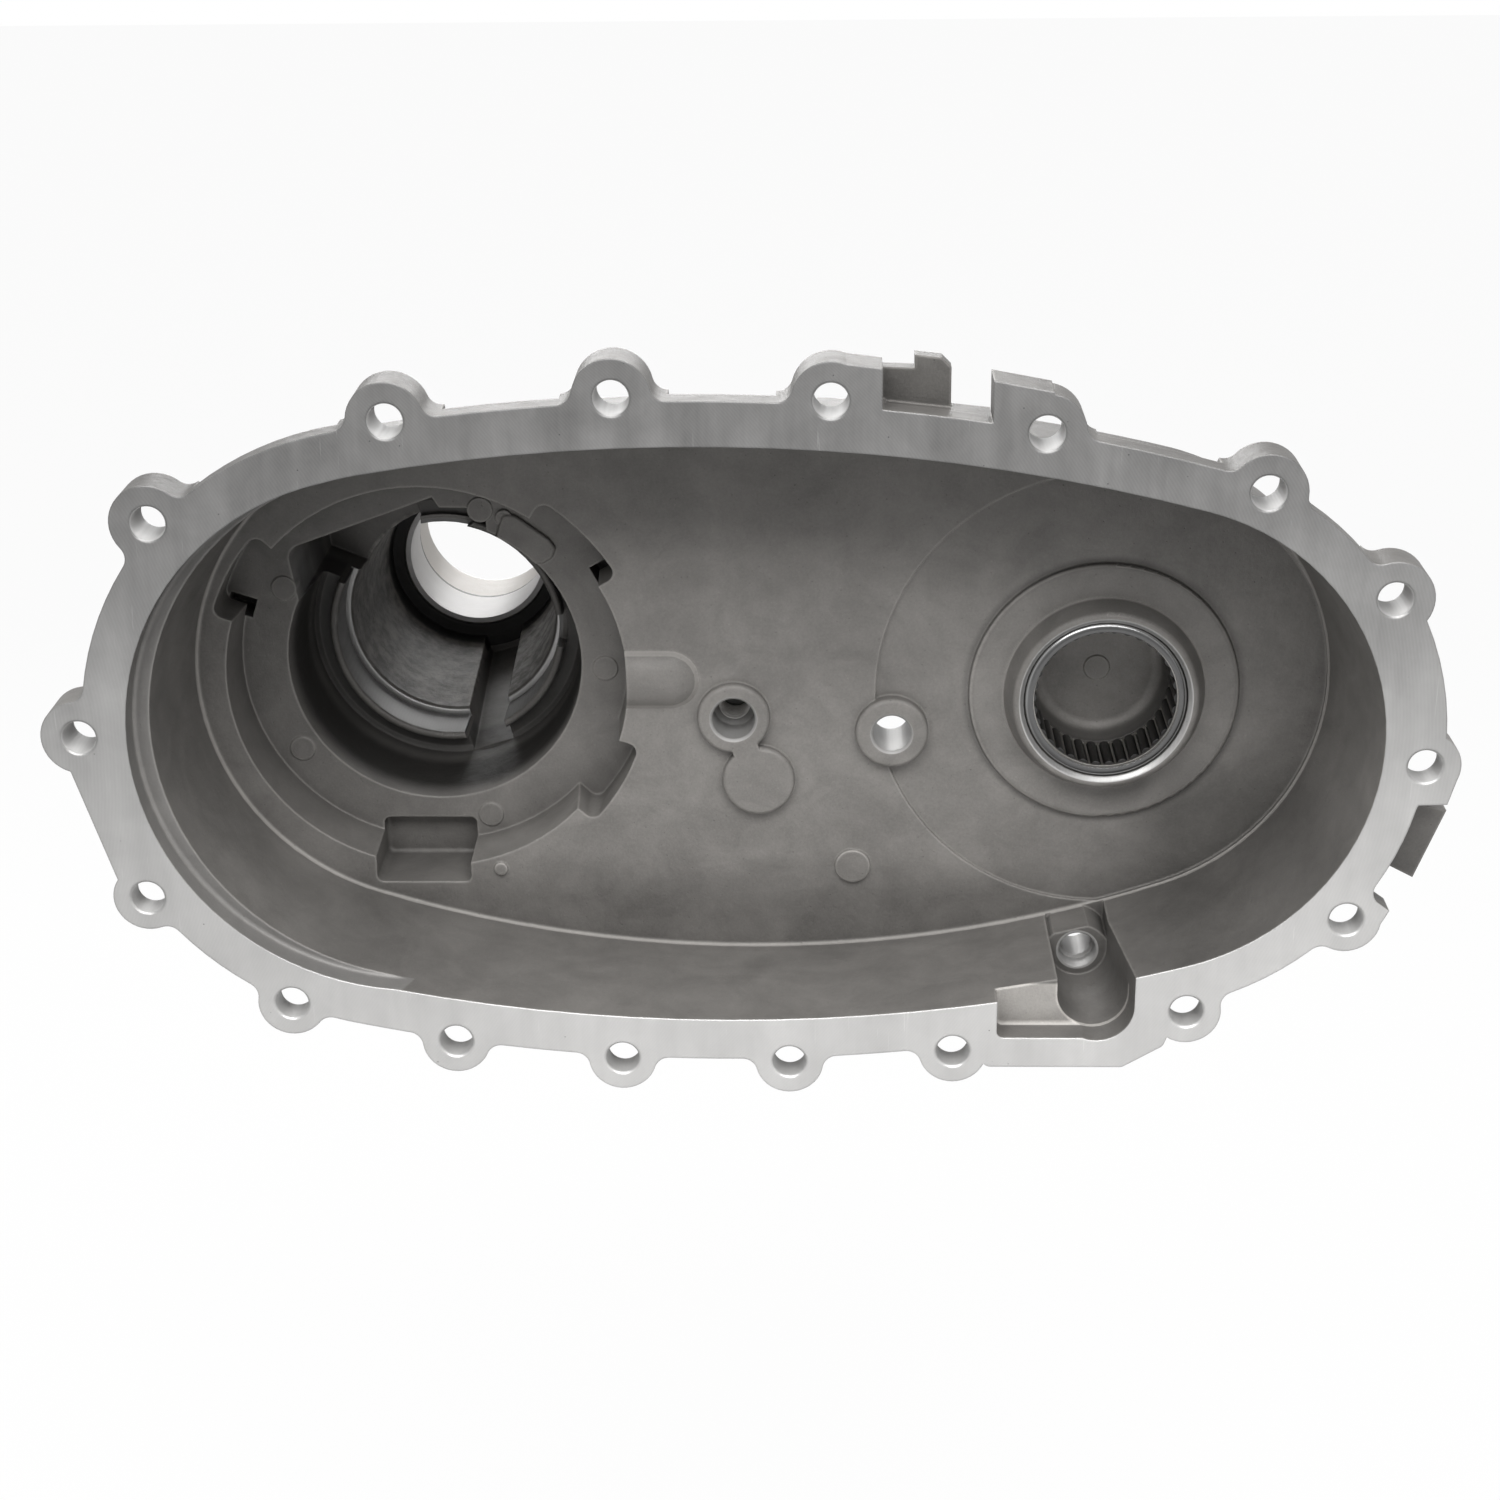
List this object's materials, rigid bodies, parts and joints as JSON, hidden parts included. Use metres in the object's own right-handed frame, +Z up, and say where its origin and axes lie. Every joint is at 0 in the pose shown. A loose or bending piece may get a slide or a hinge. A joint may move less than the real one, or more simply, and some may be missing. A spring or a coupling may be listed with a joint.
{
  "type": "transfer case housing",
  "caption": "Cast case half of a chain-drive transfer case, with an eared joint flange, a pump recess, a stepped shaft bore with a tail, and a pressed-in needle bearing.",
  "frame": {"origin": "the main shaft's axis in the plane of the joint face", "axes": "+X along the case towards the front output, +Y from the joint face into the case along both shafts, +Z up"},
  "size_m": [0.4581, 0.2675, 0.2529],
  "materials": {
    "cast_aluminium": "rough cast, machined joint face",
    "bearing_steel": "smooth",
    "cage_steel": "satin",
    "needle_steel": "polished",
    "bushing_metal": "smooth"
  },
  "bodies": {
    "case": {"case_casting": "cast_aluminium", "bearing_shell": "bearing_steel", "tail_bushing": "bushing_metal"},
    "cage": {"needle_cage": "cage_steel", "needle_rollers": "needle_steel"}
  },
  "joints": [
    {"name": "cage_spin", "type": "hinge", "parent": "case", "child": "cage", "pos_m": [0.2327, 0.0664, -0.0043], "axis": [0, 1, 0], "continuous": true}
  ]
}
